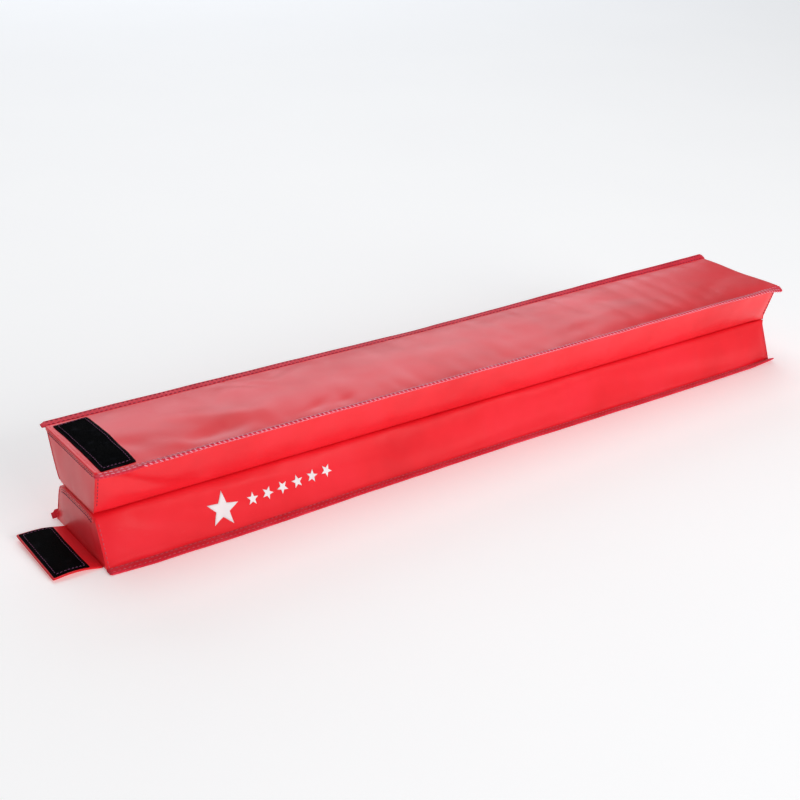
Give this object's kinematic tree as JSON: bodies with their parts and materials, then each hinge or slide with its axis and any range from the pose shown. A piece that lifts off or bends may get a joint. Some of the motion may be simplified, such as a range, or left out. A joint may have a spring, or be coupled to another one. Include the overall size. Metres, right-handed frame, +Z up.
{
  "type": "folding floor balance beam",
  "caption": "Long low padded beam that folds in half, with wide bases outward, bound flanges along the base edges, a hook flap at the open end and a loop strip on the upper base.",
  "frame": {"origin": "middle of the lower section's base underside, on the floor", "axes": "+X along the beam towards the hinge end, +Z up, the front side faces -Y"},
  "size_m": [1.1289, 0.173, 0.12],
  "materials": {
    "vinyl": "soft gloss coated fabric with a fine grain",
    "binding": "woven tape with two rows of stitching",
    "foam": "closed-cell foam",
    "loop": "napped loop tape",
    "hook": "hook tape"
  },
  "bodies": {
    "lower_section": {"lower_core": "foam", "lower_wrap": "vinyl", "lower_base_panel": "vinyl", "lower_open_end_panel": "vinyl", "lower_hinge_end_panel": "vinyl", "lower_front_binding": "binding", "lower_back_binding": "binding", "hinge_strip": "vinyl"},
    "upper_section": {"upper_core": "foam", "upper_wrap": "vinyl", "upper_base_panel": "vinyl", "upper_open_end_panel": "vinyl", "upper_hinge_end_panel": "vinyl", "upper_front_binding": "binding", "upper_back_binding": "binding", "loop_strip": "loop"},
    "flap": {"flap_bottom_layer": "vinyl", "flap_top_layer": "vinyl", "hook_strip": "hook"}
  },
  "joints": [
    {"name": "fold", "type": "hinge", "parent": "lower_section", "child": "upper_section", "pos_m": [0.5375, 0, 0.059], "axis": [0, 1, 0], "range_deg": [0, 180], "deforming": ["hinge_strip"]},
    {"name": "flap_lift", "type": "hinge", "parent": "lower_section", "child": "flap", "pos_m": [-0.5339, 0, 0.0062], "axis": [0, 1, 0], "range_deg": [0, 78]}
  ]
}
